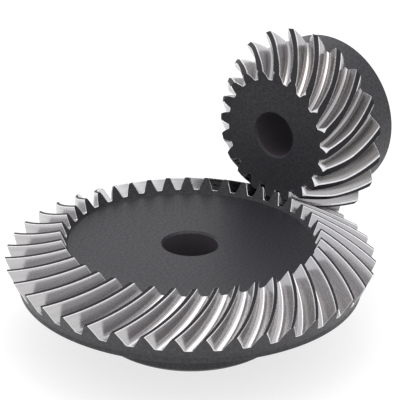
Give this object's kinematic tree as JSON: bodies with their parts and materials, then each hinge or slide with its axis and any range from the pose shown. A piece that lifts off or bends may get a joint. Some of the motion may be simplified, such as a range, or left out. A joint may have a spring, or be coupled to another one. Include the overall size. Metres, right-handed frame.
{
  "type": "spiral bevel gear pair",
  "caption": "Right-angle spiral bevel gear and pinion in mesh, each with a hub and a round bore, on their setting washers.",
  "frame": {"origin": "the point where the two shaft axes cross, which is the apex of both pitch cones", "axes": "+X along the pinion's axis, towards the back of its hub; +Z along the gear's axis, from its hub towards the crossing point; +Y completes the right-handed frame"},
  "size_m": [0.136, 0.1214, 0.0902],
  "materials": {
    "gear_steel": "black oxide blank with bright cut teeth",
    "pinion_steel": "black oxide blank with bright cut teeth",
    "gear_washer_steel": "ground steel",
    "pinion_washer_steel": "ground steel"
  },
  "bodies": {
    "mounting": {"gear_thrust_washer": "gear_washer_steel", "pinion_thrust_washer": "pinion_washer_steel"},
    "gear": {"spiral_bevel_gear": "gear_steel"},
    "pinion": {"spiral_bevel_pinion": "pinion_steel"}
  },
  "joints": [
    {"name": "gear_spin", "type": "hinge", "parent": "mounting", "child": "gear", "pos_m": [0, 0, 0], "axis": [0, 0, 1], "continuous": true},
    {"name": "pinion_spin", "type": "hinge", "parent": "mounting", "child": "pinion", "pos_m": [0, 0, 0], "axis": [1, 0, 0], "continuous": true}
  ],
  "couplings": [
    {"joint": "pinion_spin", "follows": "gear_spin", "ratio": 2}
  ]
}
